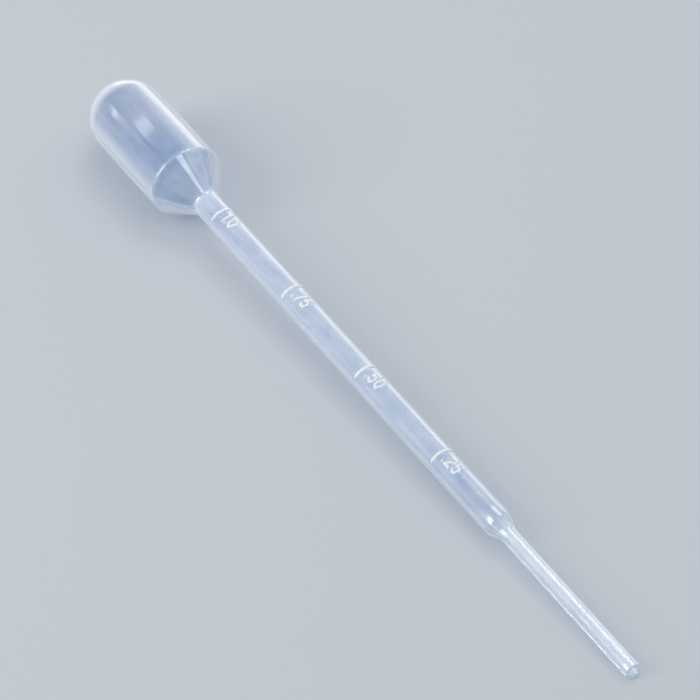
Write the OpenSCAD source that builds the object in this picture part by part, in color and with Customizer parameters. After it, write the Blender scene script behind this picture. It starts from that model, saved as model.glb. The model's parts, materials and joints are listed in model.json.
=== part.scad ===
// Transfer pipette: a dropper blown in one piece from soft low-density polyethylene.
// A squeeze bulb with a domed end runs through a conical shoulder into a long stem,
// and a short taper brings the stem down to a fine tip tube. All of it is one thin wall
// round one open passage. The mould leaves a raised parting line down both sides and
// raised graduation lines on the stem.
//
// The barrel is drawn upright, with the end of the tip at z = 0 and the bulb on top, and
// is then laid down as it comes to rest: on the lower edge of the bulb and the rim of the
// tip, with the graduations uppermost. Its length lies along X, with the tip towards +X.
// The origin is the centre of the footprint, on the surface it lies on. Millimetres.

/* [Bulb] */
// Outside diameter of the squeeze bulb
bulb_d = 13.2; // [11:0.1:16]
// From the crown of the dome down to the crease where the shoulder starts
bulb_length = 26; // [18:0.5:40]
// Wall of the bulb, its dome and the shoulder
bulb_wall = 0.4; // [0.3:0.05:0.8]
// Outer rounding of the crease between bulb and shoulder
crease_radius = 0.8; // [0.2:0.1:1.5]

/* [Shoulder] */
// From the crease down to the neck, along the axis
shoulder_length = 6.6; // [5:0.1:12]
// Outer rounding of the neck, where the shoulder runs into the stem
neck_radius = 1.2; // [0.5:0.1:2]

/* [Stem] */
// From the neck down to the top of the taper
stem_length = 87; // [60:1:110]
// Bore of the stem, which the graduations are worked out from
stem_bore = 3.8; // [3.4:0.1:4.6]
// Wall of the stem
stem_wall = 0.4; // [0.3:0.05:0.6]

/* [Tip] */
// Length of the taper between stem and tip
taper_length = 2.7; // [2:0.1:6]
// Straight length of the tip tube
tip_length = 32.7; // [15:0.1:45]
// Bore of the tip tube
tip_bore = 1.5; // [1:0.1:2]
// Wall of the tip tube
tip_wall = 0.6; // [0.4:0.05:0.8]

/* [Graduations] */
// Liquid held between one graduation line and the next, in millilitres
division_ml = 0.25; // [0.2:0.05:0.5]
// Width of a raised line, along the stem
line_width = 0.5; // [0.3:0.05:0.8]
// How far a line stands proud of the stem
line_height = 0.15; // [0.1:0.05:0.3]
// Part of the way round the stem that a line covers, in degrees
line_arc = 115; // [60:5:150]

/* [Parting line] */
// Width of the raised ridge that the joint of the mould leaves
seam_width = 0.3; // [0.2:0.05:0.5]
// How far that ridge stands proud of the wall
seam_height = 0.1; // [0.05:0.01:0.2]

/* [Hidden] */
$fn = 96;

// Stations up the axis from the end of the tip
stem_start = tip_length + taper_length;
neck = stem_start + stem_length;
crease = neck + shoulder_length;
crown = crease + bulb_length;

// Outer and inner radii
bulb_r = bulb_d / 2;
dome_centre = crown - bulb_r;
stem_bore_r = stem_bore / 2;
stem_r = stem_bore_r + stem_wall;
tip_bore_r = tip_bore / 2;
tip_r = tip_bore_r + tip_wall;
// Slope of the shoulder, between its side and the axis
shoulder_angle = atan((bulb_r - stem_r) / shoulder_length);

// Graduations: each line lies where the passage below it holds a whole number of divisions,
// in cubic millimetres. There is a line for every division that the straight stem has room for.
division = division_ml * 1000;
stem_area = PI * stem_bore_r ^ 2;
tip_volume = PI * tip_bore_r ^ 2 * tip_length
    + PI / 3 * taper_length * (stem_bore_r ^ 2 + stem_bore_r * tip_bore_r + tip_bore_r ^ 2);
function line_station(count) = stem_start + (count * division - tip_volume) / stem_area;
// The top line stays clear of the rounding of the neck, the lowest one clear of the taper
room_above = neck_radius + line_width;
first_line = ceil((tip_volume + line_width * stem_area) / division);
last_line = floor((tip_volume + (stem_length - room_above) * stem_area) / division);
// How deep a raised line is rooted in the wall it stands on
line_root = stem_wall / 2;

// Rest: the bulb touches on the rounding of its crease and the tip on the rim of its end
crease_centre = crease + crease_radius * tan(shoulder_angle / 2);
contact_rise = bulb_r - crease_radius - tip_r;
rest_tilt = atan2(contact_rise, crease_centre)
    + asin(crease_radius / norm([crease_centre, contact_rise]));
// At rest the part reaches from the ridge over its dome to the upper rim of its tip
ridge_crown = dome_centre + sqrt((bulb_r + seam_height) ^ 2 - (seam_width / 2) ^ 2);
bulb_end = -ridge_crown * cos(rest_tilt) - seam_width / 2 * sin(rest_tilt);
tip_end = tip_r * sin(rest_tilt);

// How far a cutting or trimming shape runs past what it cuts
past = 1;

// Half section of a barrel, from the axis outwards, filled in. Each depth is how far its
// outline lies inside the outer surface there, and a ridge has a depth below zero.
// The slope of the shoulder moves in by the bulb's depth at the crease and by the stem's at
// the neck, so that both walls keep their thickness round the corners.
module half_section(bulb_depth, stem_depth, tip_depth, foot) {
    bulb = bulb_r - bulb_depth;
    stem = stem_r - stem_depth;
    tip = tip_r - tip_depth;
    slope = [cos(shoulder_angle), -sin(shoulder_angle)];
    half_turn = tan(shoulder_angle / 2);
    // The crease is rounded outwards and the neck inwards, each round a centre of its own
    crease_round = max(crease_radius - bulb_depth, 0.05);
    crease_mid = [bulb - crease_round, crease + (bulb_depth + crease_round) * half_turn];
    crease_foot = crease_mid + crease_round * slope;
    neck_round = neck_radius + stem_depth;
    neck_mid = [stem + neck_round, neck + (stem_depth - neck_round) * half_turn];
    neck_head = neck_mid - neck_round * slope;

    difference() {
        union() {
            polygon([
                [0, foot], [tip, foot], [tip, tip_length], [stem, stem_start],
                [stem, neck_mid.y], neck_head, crease_foot, [bulb, crease_mid.y],
                [bulb, dome_centre], [0, dome_centre]]);
            between(crease_foot.y, crease_mid.y) translate(crease_mid) circle(crease_round);
            between(dome_centre, crown + past) translate([0, dome_centre]) circle(bulb);
        }
        between(neck_mid.y, neck_head.y) translate(neck_mid) circle(neck_round);
    }
}

// Keeps what lies between two stations of a flat half section
module between(low, high) {
    intersection() {
        children();
        translate([0, low]) square([bulb_d, high - low]);
    }
}

// The barrel as a solid, with its surface moved out by rise
module barrel(rise = 0) {
    rotate_extrude() half_section(-rise, -rise, -rise, 0);
}

// The open space from the dome to the end of the tip
module passage() {
    rotate_extrude() half_section(bulb_wall, stem_wall, tip_wall, -past);
}

// The ridge where the two halves of the mould meet, down both sides and over the dome
module parting_line() {
    intersection() {
        barrel(rise = seam_height);
        translate([-seam_width / 2, -bulb_d, 0]) cube([seam_width, 2 * bulb_d, crown + past]);
    }
}

// One raised line, centred on the side that lies uppermost, with the flanks of its profile
// drafted so that it leaves the mould
module graduation(station) {
    flank = line_height / 2;
    translate([0, 0, station])
        rotate([0, 0, -line_arc / 2])
            rotate_extrude(angle = line_arc)
                translate([stem_r, 0])
                    polygon([
                        [-line_root, -line_width / 2], [0, -line_width / 2],
                        [line_height, flank - line_width / 2],
                        [line_height, line_width / 2 - flank],
                        [0, line_width / 2], [-line_root, line_width / 2]]);
}

module upright_pipette() {
    difference() {
        union() {
            barrel();
            parting_line();
            for (count = [first_line : last_line]) graduation(line_station(count));
        }
        passage();
    }
}

module pipette() {
    color("lightsteelblue", 0.6)
        translate([-(bulb_end + tip_end) / 2, 0, tip_r * cos(rest_tilt)])
            rotate([0, rest_tilt - 90, 0])
                upright_pipette();
}

pipette();
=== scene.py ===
import json
import math

import bpy
import numpy as np
from mathutils import Matrix, Quaternion, Vector


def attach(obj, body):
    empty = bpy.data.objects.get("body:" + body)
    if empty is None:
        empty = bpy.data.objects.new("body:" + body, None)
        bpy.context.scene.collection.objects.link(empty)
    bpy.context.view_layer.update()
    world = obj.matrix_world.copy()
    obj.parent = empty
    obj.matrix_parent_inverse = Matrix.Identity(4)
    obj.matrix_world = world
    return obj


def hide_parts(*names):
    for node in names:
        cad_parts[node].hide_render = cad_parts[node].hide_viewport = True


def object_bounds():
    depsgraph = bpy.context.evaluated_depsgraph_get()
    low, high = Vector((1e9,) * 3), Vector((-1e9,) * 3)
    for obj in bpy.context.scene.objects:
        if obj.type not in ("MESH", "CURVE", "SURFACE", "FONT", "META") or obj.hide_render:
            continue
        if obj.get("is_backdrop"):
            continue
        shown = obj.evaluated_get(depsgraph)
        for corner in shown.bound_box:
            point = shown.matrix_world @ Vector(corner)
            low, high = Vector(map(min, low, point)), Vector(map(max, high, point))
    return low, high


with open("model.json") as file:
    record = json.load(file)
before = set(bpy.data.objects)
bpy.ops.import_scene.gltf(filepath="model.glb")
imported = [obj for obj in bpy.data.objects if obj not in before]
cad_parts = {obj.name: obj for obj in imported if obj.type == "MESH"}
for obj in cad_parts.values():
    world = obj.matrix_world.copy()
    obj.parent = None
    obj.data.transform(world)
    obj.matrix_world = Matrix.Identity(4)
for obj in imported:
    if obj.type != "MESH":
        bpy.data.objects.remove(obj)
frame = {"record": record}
cad_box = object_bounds()

# ---------------------------------------------------------------------------------------
# The barrel: squeeze bulb, shoulder, stem, taper and tip are one thin wall round one open
# passage, blown in one piece from natural low-density polyethylene. The mould leaves the
# parting ridge down both sides, and the lines and figures stand up from the stem.
# ---------------------------------------------------------------------------------------

MM = 0.001  # lengths in this section are millimetres, and the mesh is written in metres

# The outlet at the tip gives the barrel's own line: its end face and the way it points
mounts = {m["name"]: m for m in frame["record"]["mounts"]}
outlet, tip_tube, stem_tube = mounts["tip_bore"], mounts["tip_tube"], mounts["stem_tube"]
tip_length = outlet["dims"]["length_mm"]
out_of_tip = np.array(outlet["axis"], float)
up_barrel = -out_of_tip
tip_face = np.array(outlet["pos_m"], float) / MM + out_of_tip * tip_length / 2
across = np.array([0.0, 1.0, 0.0])
uppermost = np.cross(out_of_tip, across)

# Outer radii, and stations counted up the barrel from the end of the tip
tip_r = tip_tube["dims"]["r_mm"]
stem_r = stem_tube["dims"]["r_mm"]
seam_height = 0.1
bulb_r = (cad_box[1].y - cad_box[0].y) / 2 / MM - seam_height
taper_length = 2.7
stem_length = 87.0
shoulder_length = 6.6
bulb_length = 26.0
stem_start = tip_length + taper_length
neck = stem_start + stem_length
crease = neck + shoulder_length
crown = crease + bulb_length
dome_centre = crown - bulb_r
shoulder_angle = math.atan((bulb_r - stem_r) / shoulder_length)

# Walls, and the bores that they leave
bulb_wall = 0.4
stem_wall = 0.4
tip_bore_r = outlet["dims"]["r_mm"]
stem_bore_r = stem_r - stem_wall

# Roundings of the crease and the neck, and of the end face at its outer and inner rim
crease_round = 0.8
neck_round = 1.2
outer_rim = 0.1
inner_rim = 0.06

# Each bend of the taper is eased from a little way along the straight to a little way down
# the slope, where the outer and the inner slope have dropped by these amounts
bend_straight = 0.25
bend_slope = 0.2
outer_drop = 0.07
inner_drop = 0.09


def arc(centre, radius, start, end, count):
    """Points (station, radius) round a centre. An angle of 0 points away from the axis
    and 90 points up the barrel. The last point is left to the next stretch."""
    a = np.radians(np.linspace(start, end, count, endpoint=False))
    return np.column_stack([centre[0] + radius * np.sin(a), centre[1] + radius * np.cos(a)])


def straight(start, end, count):
    """Points from start towards end at even steps. The last one is left to the next stretch."""
    t = np.linspace(0, 1, count, endpoint=False)[:, None]
    return np.array(start) * (1 - t) + np.array(end) * t


def corners(depth_bulb, depth_stem):
    """Radii, and centres and ends of the rounded corners, of an outline that lies the given
    depths inside the outer surface at the bulb and the stem. A corner's centre lies on the
    line that halves its angle."""
    half_turn = math.tan(shoulder_angle / 2)
    bulb, stem = bulb_r - depth_bulb, stem_r - depth_stem
    crease_r, neck_r = crease_round - depth_bulb, neck_round + depth_stem
    crease_mid = (crease + (depth_bulb + crease_r) * half_turn, bulb - crease_r)
    neck_mid = (neck + (depth_stem - neck_r) * half_turn, stem + neck_r)
    slope = np.array([-math.sin(shoulder_angle), math.cos(shoulder_angle)])
    return {
        "bulb": bulb,
        "crease_r": crease_r,
        "crease_mid": crease_mid,
        "crease_foot": np.array(crease_mid) + crease_r * slope,
        "neck_r": neck_r,
        "neck_mid": neck_mid,
        "neck_head": np.array(neck_mid) - neck_r * slope,
    }


# Graduations: each line lies where the passage below it holds a whole number of divisions
division = 250.0  # cubic millimetres
tip_volume = math.pi * tip_bore_r**2 * tip_length + math.pi / 3 * taper_length * (
    stem_bore_r**2 + stem_bore_r * tip_bore_r + tip_bore_r**2)
figures = {1: ".25", 2: ".50", 3: ".75", 4: "1.0"}
line_stations = {
    count: stem_start + (count * division - tip_volume) / (math.pi * stem_bore_r**2)
    for count in figures
}
line_width = 0.5
line_height = 0.15
line_arc = math.radians(115)
figure_height = 2.0
figure_gap = 1.3  # from the line to the figure
figure_rise = 0.13
stroke_half = 0.17

# Rows of the mesh: fine from just above a line to just below its figure, coarse between
fine_row = 0.075
coarse_row = 1.6
fine_above = 0.6
fine_below = 4.6


def outer_outline():
    """The outer surface from the crown of the dome down to the end face, as rows."""
    c = corners(0, 0)
    turned = math.degrees(shoulder_angle)
    rows = [
        arc((dome_centre, 0), bulb_r, 90, 0, count=44),
        straight((dome_centre, bulb_r), (c["crease_mid"][0], bulb_r), count=26),
        arc(c["crease_mid"], c["crease_r"], 0, -turned, count=8),
        straight(c["crease_foot"], c["neck_head"], count=14),
        arc(c["neck_mid"], -c["neck_r"], -turned, 0, count=10),
    ]
    at = c["neck_mid"][0]
    for count in sorted(line_stations, reverse=True):
        top = line_stations[count] + fine_above
        bottom = line_stations[count] - figure_gap - fine_below
        coarse = max(3, int((at - top) / coarse_row))
        fine = int((top - bottom) / fine_row)
        rows.append(straight((at, stem_r), (top, stem_r), coarse))
        rows.append(straight((top, stem_r), (bottom, stem_r), fine))
        at = bottom
    bend_top = (stem_start + bend_straight, stem_r)
    slope_top = (stem_start - bend_slope, stem_r - outer_drop)
    slope_end = (tip_length + bend_slope, tip_r + outer_drop)
    bend_end = (tip_length - bend_straight, tip_r)
    rows += [
        straight((at, stem_r), bend_top, count=6),
        straight(bend_top, slope_top, count=5),
        straight(slope_top, slope_end, count=6),
        straight(slope_end, bend_end, count=5),
        straight(bend_end, (outer_rim, tip_r), count=20),
        arc((outer_rim, tip_r - outer_rim), outer_rim, 0, -90, count=5),
    ]
    return np.vstack(rows)


def inner_outline():
    """The passage from the end face up to the top of the dome, as rows."""
    c = corners(bulb_wall, stem_wall)
    turned = math.degrees(shoulder_angle)
    bend_end = (tip_length - bend_straight, tip_bore_r)
    slope_end = (tip_length + bend_slope, tip_bore_r + inner_drop)
    slope_top = (stem_start - bend_slope, stem_bore_r - inner_drop)
    bend_top = (stem_start + bend_straight, stem_bore_r)
    return np.vstack([
        straight((0, tip_r - outer_rim), (0, tip_bore_r + inner_rim), count=3),
        arc((inner_rim, tip_bore_r + inner_rim), -inner_rim, 90, 0, count=4),
        straight((inner_rim, tip_bore_r), bend_end, count=12),
        straight(bend_end, slope_end, count=4),
        straight(slope_end, slope_top, count=5),
        straight(slope_top, bend_top, count=4),
        straight(bend_top, (c["neck_mid"][0], stem_bore_r), count=44),
        arc(c["neck_mid"], -c["neck_r"], 0, -turned, count=8),
        straight(c["neck_head"], c["crease_foot"], count=10),
        arc(c["crease_mid"], c["crease_r"], -turned, 0, count=6),
        straight((c["crease_mid"][0], c["bulb"]), (dome_centre, c["bulb"]), count=22),
        arc((dome_centre, 0), c["bulb"], 0, 90, count=36),
    ])


def columns():
    """Directions round the barrel: a fixed angle from the uppermost side and, near the two
    parting ridges, an offset in millimetres that keeps the ridge's width on every radius."""
    ridge = np.array([-0.24, -0.16, -0.08, 0.0, 0.08, 0.16, 0.24])
    on_joint = np.full(len(ridge), math.pi / 2)
    figured = np.radians(np.linspace(-29, 29, 34))
    flank = np.radians(np.linspace(33, 77, 12))
    under = np.radians(np.linspace(103, 257, 44))
    angle = np.concatenate([figured, flank, on_joint, under, 3 * on_joint,
                            2 * math.pi - flank[::-1]])
    offset = np.concatenate([0 * figured, 0 * flank, ridge, 0 * under, ridge, 0 * flank])
    return angle, offset


def smooth_step(x):
    """0 below 0, 1 above 1, and a smooth rise between."""
    t = np.clip(x, 0, 1)
    return t * t * (3 - 2 * t)


def bell(x):
    """1 at 0, falling off to both sides as e to the minus x squared."""
    return np.exp(-(x**2))


def strokes_of(character):
    """Centre lines of a figure's strokes, as (x, y) points with the figure 1 high."""
    def bow(cx, cy, rx, ry, start, end):
        a = np.radians(np.linspace(start, end, 14))
        return np.column_stack([cx + rx * np.cos(a), cy + ry * np.sin(a)])

    return {
        "1": [np.array([(0.06, 0.76), (0.26, 1.0), (0.26, 0.0)])],
        "2": [np.vstack([bow(0.3, 0.72, 0.27, 0.28, 165, -25), [(0.03, 0.0), (0.6, 0.0)]])],
        "5": [np.vstack([[(0.54, 1.0), (0.1, 1.0), (0.06, 0.56)],
                         bow(0.28, 0.32, 0.28, 0.32, 125, -150)])],
        "7": [np.array([(0.02, 1.0), (0.56, 1.0), (0.2, 0.0)])],
        "0": [bow(0.29, 0.5, 0.27, 0.5, 0, 360)],
        ".": [np.array([(0.06, 0.02), (0.07, 0.0)])],
    }[character]


# How far the next character starts from this one, with the figure 1 high
advance = {"1": 0.5, "2": 0.86, "5": 0.84, "7": 0.84, "0": 0.86, ".": 0.34}


def distance_to(points, path):
    """Distance from each point to a path of straight segments."""
    a, b = path[:-1], path[1:]
    d = b - a
    t = ((points[:, None] - a) * d).sum(-1) / np.maximum((d * d).sum(-1), 1e-12)
    foot = a + np.clip(t, 0, 1)[..., None] * d
    return np.sqrt(((points[:, None] - foot) ** 2).sum(-1)).min(1)


# Widths over which the marks rise from the wall
seam_half = 0.2
seam_fade = 0.3  # the ridge dies out this close to the end face
line_flank = 0.14
line_end = 0.3
stroke_flank = 0.12
stroke_reach = 0.5  # how far round a character its strokes are looked for


def relief(station, radius, theta):
    """How far the mould's marks stand out of the wall, first the lines and figures and then
    the ridge. The parting ridge is a rounded bump across the plane of the joint; a line is
    flat topped with soft flanks; a figure rises where a point lies within half a stroke's
    width of one of its strokes. A flank is halfway up at the edge of its mark."""
    from_joint = np.abs(radius * np.cos(theta))
    ridge = seam_height * (1 - smooth_step(from_joint / seam_half))
    rise = np.zeros(station.shape)
    turn = (theta + math.pi) % (2 * math.pi) - math.pi
    for count, line in line_stations.items():
        along = (line_width / 2 - np.abs(station - line)) / line_flank + 0.5
        around = (line_arc / 2 - np.abs(turn)) * stem_r / line_end + 0.5
        rise = np.maximum(rise, line_height * smooth_step(along) * smooth_step(around))
        pen = figure_gap
        for character in figures[count]:
            width = advance[character] * figure_height
            x = line - station - pen
            y = turn * stem_r + figure_height / 2
            near = ((x > -stroke_reach) & (x < width + stroke_reach)
                    & (y > -stroke_reach) & (y < figure_height + stroke_reach))
            points = np.column_stack([x[near], y[near]])
            far = np.min([distance_to(points, path * figure_height)
                          for path in strokes_of(character)], axis=0)
            bump = figure_rise * smooth_step((stroke_half - far) / stroke_flank + 0.5)
            rise[near] = np.maximum(rise[near], bump)
            pen += width
    return rise, ridge


# How the blown plastic settles as it cools: depths, and the lengths over which they come
belly_station = crease + 11.2  # the fullest place of the bulb
belly_depth, belly_reach = 0.2, 12.0
oval_depth, oval_turn = 0.02, 0.6
ripple_depth, ripple_length, ripple_fade = 0.006, 2.9, 4.0
sway_depth, sway_length = 1.3, 7.3
wander_depth, short_wave, long_wave, wander_fade = 0.014, 3.7, 5.9, 3.0
clear_of_taper = stem_start + 1


def swell(station, radius, theta):
    """How far the cooled surface lies inside the mould's outline. The bulb keeps a slight
    belly, a parabola along it, and goes a little oval; the stem has a slow ripple, a sine
    whose own phase sways."""
    belly = -(((station - belly_station) / belly_reach) ** 2)
    oval = np.cos(2 * (theta - oval_turn)) - 1
    on_bulb = smooth_step((station - neck) / shoulder_length) * radius / bulb_r
    above_taper = smooth_step((station - clear_of_taper) / ripple_fade)
    below_neck = smooth_step((neck - station) / ripple_fade)
    sway = sway_depth * np.sin(station / sway_length)
    ripple = np.sin(station / ripple_length + sway) - 1
    return (on_bulb * (belly_depth * belly + oval_depth * oval)
            + above_taper * below_neck * ripple_depth * ripple)


def unevenness(station, theta):
    """How the blown wall's thickness wanders: two slow waves that cross round the passage."""
    waves = (np.sin(station / short_wave + 2 * theta)
             + np.sin(station / long_wave - 3 * theta + 1.0))
    return wander_depth * waves * smooth_step((station - clear_of_taper) / wander_fade)


# Where the plastic gathers: how much, where 0 is the thin wall and 1 looks thick, and the
# length over which it does
crease_gather, crease_reach = 0.6, 0.4
neck_gather, neck_reach = 0.8, 0.8
crown_depth, crown_slope = 1.6, 2.0
shoulder_gather, shoulder_fade = 0.4, 1.5
stem_gather, stem_fade = 0.45, 3.0
tip_gather = 0.3


def gathered(station, radius):
    """How thick the plastic gathers: a narrow bell round the crease, a wider one round the
    neck, and smooth steps for the ring round the crown, the shoulder, everything below the
    neck and everything below the taper."""
    crease_bead = crease_gather * bell((station - crease) / crease_reach)
    neck_bead = neck_gather * bell((station - neck) / neck_reach)
    ring = smooth_step((radius - stem_r) / crown_slope)
    crown_ring = ring * smooth_step((station - crown + crown_depth) / crown_depth)
    below_crease = smooth_step((crease - station) / shoulder_fade)
    above_neck = smooth_step((station - neck) / shoulder_fade)
    shoulder = shoulder_gather * below_crease * above_neck
    stem = stem_gather * smooth_step((neck - station) / stem_fade)
    tip = tip_gather * smooth_step((stem_start - station) / taper_length)
    return crease_bead + neck_bead + crown_ring + shoulder + stem + tip


def barrel_surface():
    """The wall as a grid of points: rows run down the outside, round the end face and up the
    passage, and columns go round. A point lies at tip_face plus its station up the barrel,
    plus its radius in the direction of its angle. With it come how far a line or figure
    stands proud at each point, and how thick the plastic is there, from 0 to 1."""
    outside, inside = outer_outline(), inner_outline()
    rows = np.vstack([outside[1:], inside])
    outer = len(outside) - 1
    angle, offset = columns()
    station = np.repeat(rows[:, :1], len(angle), 1)
    radius = np.repeat(rows[:, 1:], len(angle), 1)
    theta = angle + offset / np.maximum(radius, tip_r)
    tangent = np.gradient(rows, axis=0)
    normal = np.column_stack([tangent[:, 1], -tangent[:, 0]])
    normal /= np.linalg.norm(normal, axis=1)[:, None]
    marks, ridge = relief(station[:outer], radius[:outer], theta[:outer])
    rise = np.maximum(marks, ridge * smooth_step(rows[:outer, :1] / seam_fade))
    radius += swell(station, radius, theta)
    radius[outer:] += unevenness(station[outer:], theta[outer:])
    thickness = gathered(station, radius)
    thickness[:outer] += rise / line_height
    station[:outer] += normal[:outer, :1] * rise
    radius[:outer] += normal[:outer, 1:] * rise
    points = (tip_face + station[..., None] * up_barrel
              + (radius * np.cos(theta))[..., None] * uppermost
              + (radius * np.sin(theta))[..., None] * across)
    proud = np.zeros(station.shape)
    proud[:outer] = marks
    return points, proud, np.clip(thickness, 0, 1)


counts_as_raised = 0.45 * line_height


def barrel_mesh(name):
    """The grid closed into a mesh: a four-sided face between neighbouring rows and columns,
    and a fan of triangles to a pole at the top of the outer and of the inner dome. Faces
    that stand proud take the second material, and each point keeps its thickness."""
    points, proud, thickness = barrel_surface()
    n_rows, n = proud.shape
    top = tip_face + (crown + seam_height) * up_barrel
    under_top = tip_face + (crown - bulb_wall) * up_barrel
    verts = np.vstack([points.reshape(-1, 3), top, under_top]) * MM
    row = np.arange(n_rows - 1)[:, None] * n
    here = np.arange(n)
    after = (here + 1) % n
    quads = np.stack([row + here, row + n + here, row + n + after, row + after], -1)
    quads = quads.reshape(-1, 4)
    last = (n_rows - 1) * n
    top_fan = np.stack([np.full(n, n_rows * n), here, after], -1)
    under_fan = np.stack([np.full(n, n_rows * n + 1), last + after, last + here], -1)
    mesh = bpy.data.meshes.new(name)
    mesh.from_pydata(verts.tolist(), [], quads.tolist() + top_fan.tolist() + under_fan.tolist())
    mesh.shade_smooth()
    raised = proud.ravel()[quads].mean(1) > counts_as_raised
    slots = np.zeros(len(mesh.polygons), np.int32)
    slots[: len(quads)] = raised
    mesh.polygons.foreach_set("material_index", slots)
    kept = mesh.attributes.new("thickness", "FLOAT", "POINT")
    kept.data.foreach_set("value", np.append(thickness.ravel(), [1.0, 1.0]))
    mesh.update()
    return mesh


barrel = bpy.data.objects.new("barrel", barrel_mesh("barrel"))
bpy.context.scene.collection.objects.link(barrel)


def cloudy_wall():
    """The node group of the plastic's own unevenness. Clouds and long flow streaks vary the
    colour between thin and thick plastic, scuffs vary the roughness, and a fine grain from
    the mould's wall and the streaks make the height."""
    group = bpy.data.node_groups.new("cloudy_wall", "ShaderNodeTree")
    for name, kind in (("Thin Colour", "NodeSocketColor"), ("Thick Colour", "NodeSocketColor"),
                       ("Smooth", "NodeSocketFloat"), ("Scuffed", "NodeSocketFloat")):
        group.interface.new_socket(name, in_out="INPUT", socket_type=kind)
    for name, kind in (("Colour", "NodeSocketColor"), ("Roughness", "NodeSocketFloat"),
                       ("Height", "NodeSocketFloat")):
        group.interface.new_socket(name, in_out="OUTPUT", socket_type=kind)
    new, link = group.nodes.new, group.links.new
    given, made = new("NodeGroupInput"), new("NodeGroupOutput")
    place = new("ShaderNodeTexCoord").outputs["Object"]

    def noise(scale, stretch, detail):
        """Noise on a grid that is turned to lie along the barrel, and stretched."""
        turn = new("ShaderNodeMapping")
        turn.inputs["Rotation"].default_value = (0, math.asin(out_of_tip[2]), 0)
        turn.inputs["Scale"].default_value = stretch
        link(place, turn.inputs["Vector"])
        pattern = new("ShaderNodeTexNoise")
        pattern.inputs["Scale"].default_value = scale
        pattern.inputs["Detail"].default_value = detail
        link(turn.outputs["Vector"], pattern.inputs["Vector"])
        return pattern.outputs["Fac"]

    def ramp(value, low, high, to_high):
        """0 where value is at or below low, rising to to_high at high."""
        step = new("ShaderNodeMapRange")
        step.inputs["From Min"].default_value = low
        step.inputs["From Max"].default_value = high
        step.inputs["To Max"].default_value = to_high
        link(value, step.inputs["Value"])
        return step.outputs["Result"]

    def combine(operation, a, b):
        """One step of arithmetic on two sockets, or on a socket and a plain number."""
        node = new("ShaderNodeMath")
        node.operation = operation
        for value, socket in ((a, node.inputs[0]), (b, node.inputs[1])):
            if isinstance(value, float):
                socket.default_value = value
            else:
                link(value, socket)
        return node.outputs[0]

    clouds = noise(scale=330, stretch=(0.6, 1, 1), detail=2.0)
    streaks = noise(scale=900, stretch=(0.05, 1, 1), detail=3.0)
    grain = noise(scale=3200, stretch=(1, 1, 1), detail=1.0)
    scuffs = noise(scale=1500, stretch=(0.12, 1, 0.7), detail=4.0)
    wall = new("ShaderNodeAttribute")
    wall.attribute_name = "thickness"
    haze = combine("ADD", ramp(clouds, 0.35, 0.65, 0.22), ramp(streaks, 0.4, 0.7, 0.25))
    whitened = combine("MINIMUM", combine("ADD", wall.outputs["Fac"], haze), 1.0)
    colour = new("ShaderNodeMix")
    colour.data_type = "RGBA"
    link(whitened, colour.inputs["Factor"])
    link(given.outputs["Thin Colour"], colour.inputs["A"])
    link(given.outputs["Thick Colour"], colour.inputs["B"])
    link(colour.outputs["Result"], made.inputs["Colour"])
    rough = new("ShaderNodeMapRange")
    rough.inputs["From Min"].default_value = 0.45
    rough.inputs["From Max"].default_value = 0.72
    link(scuffs, rough.inputs["Value"])
    link(given.outputs["Smooth"], rough.inputs["To Min"])
    link(given.outputs["Scuffed"], rough.inputs["To Max"])
    link(rough.outputs["Result"], made.inputs["Roughness"])
    height = combine("ADD", combine("MULTIPLY", grain, 0.25), streaks)
    link(height, made.inputs["Height"])
    return group


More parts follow.
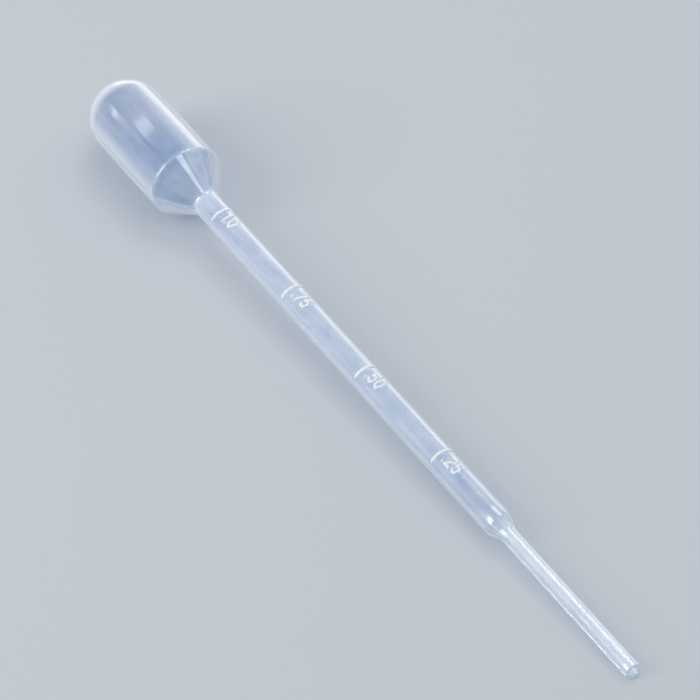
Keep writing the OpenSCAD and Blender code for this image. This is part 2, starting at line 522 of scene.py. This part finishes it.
def polyethylene(name, surface, cloud, transmission, thin, thick, smooth, scuffed):
    """One finish of the natural polyethylene, which is clear glass and cloud in one. Seen
    face on it lets most light through; towards an edge, where the way through the wall gets
    long, the cloud closes up. Rays from the lamps pass through."""
    material = bpy.data.materials.new(name)
    material.use_nodes = True
    nodes = material.node_tree.nodes
    new, link = nodes.new, material.node_tree.links.new
    uneven = new("ShaderNodeGroup")
    uneven.node_tree = surface
    uneven.inputs["Thin Colour"].default_value = (*thin, 1)
    uneven.inputs["Thick Colour"].default_value = (*thick, 1)
    uneven.inputs["Smooth"].default_value = smooth
    uneven.inputs["Scuffed"].default_value = scuffed
    bump = new("ShaderNodeBump")
    bump.inputs["Strength"].default_value = 0.3
    bump.inputs["Distance"].default_value = 0.00003
    link(uneven.outputs["Height"], bump.inputs["Height"])
    clear, milk = nodes["Principled BSDF"], new("ShaderNodeBsdfPrincipled")
    link(uneven.outputs["Colour"], clear.inputs["Base Color"])
    clear.inputs["Transmission Weight"].default_value = transmission
    clear.inputs["Sheen Weight"].default_value = 1.0
    clear.inputs["Sheen Roughness"].default_value = 0.3
    milk.inputs["Base Color"].default_value = (*cloud, 1)
    for shader in (clear, milk):
        link(uneven.outputs["Roughness"], shader.inputs["Roughness"])
        link(bump.outputs["Normal"], shader.inputs["Normal"])
        shader.inputs["IOR"].default_value = 1.51
        shader.inputs["Coat Weight"].default_value = 1.0
        shader.inputs["Coat Roughness"].default_value = 0.05
    angle = new("ShaderNodeLayerWeight")
    angle.inputs["Blend"].default_value = 0.5
    close = new("ShaderNodeMapRange")
    close.interpolation_type = "SMOOTHSTEP"
    close.inputs["From Min"].default_value = 0.22
    close.inputs["From Max"].default_value = 0.8
    link(angle.outputs["Facing"], close.inputs["Value"])
    wall = new("ShaderNodeMixShader")
    link(close.outputs["Result"], wall.inputs[0])
    link(clear.outputs["BSDF"], wall.inputs[1])
    link(milk.outputs["BSDF"], wall.inputs[2])
    rays = new("ShaderNodeLightPath")
    passing = new("ShaderNodeBsdfTransparent")
    passing.inputs["Color"].default_value = (0.72, 0.74, 0.76, 1)
    lit_through = new("ShaderNodeMixShader")
    link(rays.outputs["Is Shadow Ray"], lit_through.inputs[0])
    link(wall.outputs[0], lit_through.inputs[1])
    link(passing.outputs["BSDF"], lit_through.inputs[2])
    link(lit_through.outputs[0], nodes["Material Output"].inputs["Surface"])
    return material


uneven_plastic = cloudy_wall()
barrel.data.materials.append(polyethylene(
    "milky_polyethylene", uneven_plastic, cloud=(0.84, 0.91, 0.99), transmission=0.8,
    thin=(0.335, 0.47, 0.69), thick=(0.87, 0.92, 0.97), smooth=0.13, scuffed=0.22))
barrel.data.materials.append(polyethylene(
    "raised_polyethylene", uneven_plastic, cloud=(0.95, 0.97, 1.0), transmission=0.3,
    thin=(0.93, 0.96, 1.0), thick=(0.96, 0.98, 1.0), smooth=0.25, scuffed=0.35))
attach(barrel, "root")
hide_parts("pipette")

# ---------------------------------------------------------------------------------------
# The table top that the pipette lies on: one wide flat sheet of plain, matt, pale paper.
# It belongs to the studio and not to the object.
# ---------------------------------------------------------------------------------------

half = 3.0
sheet_corners = [(-half, -half, 0), (half, -half, 0), (half, half, 0), (-half, half, 0)]
table_mesh = bpy.data.meshes.new("table_top")
table_mesh.from_pydata(sheet_corners, [], [(0, 1, 2, 3)])
table = bpy.data.objects.new("table_top", table_mesh)
bpy.context.scene.collection.objects.link(table)
paper = bpy.data.materials.new("pale_paper")
paper.use_nodes = True
paper_shader = paper.node_tree.nodes["Principled BSDF"]
paper_shader.inputs["Base Color"].default_value = (0.58, 0.62, 0.67, 1)
paper_shader.inputs["Roughness"].default_value = 0.85
table.data.materials.append(paper)
table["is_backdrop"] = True

# ---------------------------------------------------------------------------------------
# Soft studio light: a key softbox above and behind, a low one behind, a broad one at the
# side, one overhead and one over the far side for the shoulder, and an even pale surround.
# Two narrow strips, bent round the line of the barrel, put the short spots on the bulb.
# ---------------------------------------------------------------------------------------


def softbox(name, place, target, along, length, width, power, tint=(1, 1, 1)):
    """A flat rectangular lamp at place that faces target, with its length turned as near to
    the direction along as facing the target allows. All in metres and watts."""
    light = bpy.data.lights.new(name, "AREA")
    light.shape = "RECTANGLE"
    light.size = length
    light.size_y = width
    light.energy = power
    light.color = tint
    lamp = bpy.data.objects.new(name, light)
    bpy.context.scene.collection.objects.link(lamp)
    back = (Vector(place) - Vector(target)).normalized()
    side = (Vector(along) - Vector(along).dot(back) * back).normalized()
    turn = Matrix((side, back.cross(side), back)).transposed()
    lamp.matrix_world = Matrix.Translation(place) @ turn.to_4x4()


strip_reach = 0.8
warm_white = (1.0, 0.86, 0.66)


def arched_strip(name, target, lean, middle, spread, count, width, power):
    """A narrow lamp bent round the line of the barrel, as a row of short straight strips.
    All lie strip_reach from the target and lean as far along X; middle and spread are angles
    round X, counted from straight up. A bulb lit this way shows one short, wide spot."""
    rise = math.sqrt(1 - lean**2)
    length = strip_reach * rise * math.radians(spread) / count
    for i in range(count):
        turn = math.radians(middle + spread * ((i + 0.5) / count - 0.5))
        way = Vector((lean, rise * math.sin(turn), rise * math.cos(turn)))
        tangent = (0, math.cos(turn), -math.sin(turn))
        softbox(f"{name}_{i + 1}", Vector(target) + strip_reach * way, target, tangent,
                length, width, power / count, warm_white)


softbox("key_softbox", place=(-0.25, 0.35, 0.75), target=(0, 0, 0), along=(1, 0, 0),
        length=0.5, width=0.35, power=1.5)
softbox("back_softbox", place=(-0.57, 0.50, 0.13), target=(0, 0, 0.01), along=(1, 1, 0),
        length=0.9, width=0.24, power=0.6)
softbox("side_softbox", place=(-0.17, -0.66, 0.45), target=(-0.02, 0, 0.01), along=(1, 0, 0),
        length=0.42, width=0.55, power=3.4)
softbox("overhead_box", place=(0.21, 0.04, 0.65), target=(-0.055, 0, 0.01), along=(1, 0, 0),
        length=0.25, width=0.2, power=0.4)
softbox("shoulder_softbox", place=(0.12, 0.53, 0.6), target=(-0.05, 0, 0.01),
        along=(-0.3, 0.72, -0.62), length=0.72, width=0.3, power=0.45)
arched_strip("bulb_strip", target=(-0.0606, 0, 0.013), lean=-0.662, middle=-10.8, spread=40,
             count=5, width=0.022, power=0.09)
arched_strip("dome_strip", target=(-0.067, 0, 0.012), lean=-0.702, middle=-46.9, spread=18,
             count=3, width=0.008, power=0.034)

# The surround has its full strength where gloss or clear plastic shows it, and a lower one
# as the light on a matt surface and for every ray that has met one on its way.
world = bpy.data.worlds.new("studio")
world.use_nodes = True
tent = world.node_tree
surround = tent.nodes["Background"]
surround.inputs["Color"].default_value = (0.95, 0.97, 1.0, 1)
rays = tent.nodes.new("ShaderNodeLightPath")
seen = tent.nodes.new("ShaderNodeMath")
seen.operation = "MAXIMUM"
tent.links.new(rays.outputs["Is Glossy Ray"], seen.inputs[0])
tent.links.new(rays.outputs["Is Transmission Ray"], seen.inputs[1])
unscattered = tent.nodes.new("ShaderNodeMath")
unscattered.operation = "LESS_THAN"
unscattered.inputs[1].default_value = 0.5
tent.links.new(rays.outputs["Diffuse Depth"], unscattered.inputs[0])
direct = tent.nodes.new("ShaderNodeMath")
direct.operation = "MULTIPLY"
tent.links.new(seen.outputs[0], direct.inputs[0])
tent.links.new(unscattered.outputs[0], direct.inputs[1])
strength = tent.nodes.new("ShaderNodeMapRange")
strength.inputs["To Min"].default_value = 0.35
strength.inputs["To Max"].default_value = 1.0
tent.links.new(direct.outputs[0], strength.inputs["Value"])
tent.links.new(strength.outputs[0], surround.inputs["Strength"])
bpy.context.scene.world = world

# ---------------------------------------------------------------------------------------
# The camera looks down on the pipette from the side of its tip, through a long lens, so
# that the bulb lies at the upper left and the tip at the lower right.
# ---------------------------------------------------------------------------------------

view_azimuth = math.radians(63)
view_elevation = math.radians(41)
view_roll = math.radians(-6)
distance = 0.64
low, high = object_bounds()
centre = (low + high) / 2
back = Vector((math.sin(view_azimuth) * math.cos(view_elevation),
               -math.cos(view_azimuth) * math.cos(view_elevation), math.sin(view_elevation)))
camera = bpy.data.objects.new("camera", bpy.data.cameras.new("camera"))
bpy.context.scene.collection.objects.link(camera)
camera.data.lens = 215
camera.location = centre + back * distance
camera.rotation_mode = "QUATERNION"
camera.rotation_quaternion = (-back).to_track_quat("-Z", "Y") @ Quaternion((0, 0, 1), view_roll)
bpy.context.scene.camera = camera

bpy.context.scene.view_settings.view_transform = "Standard"
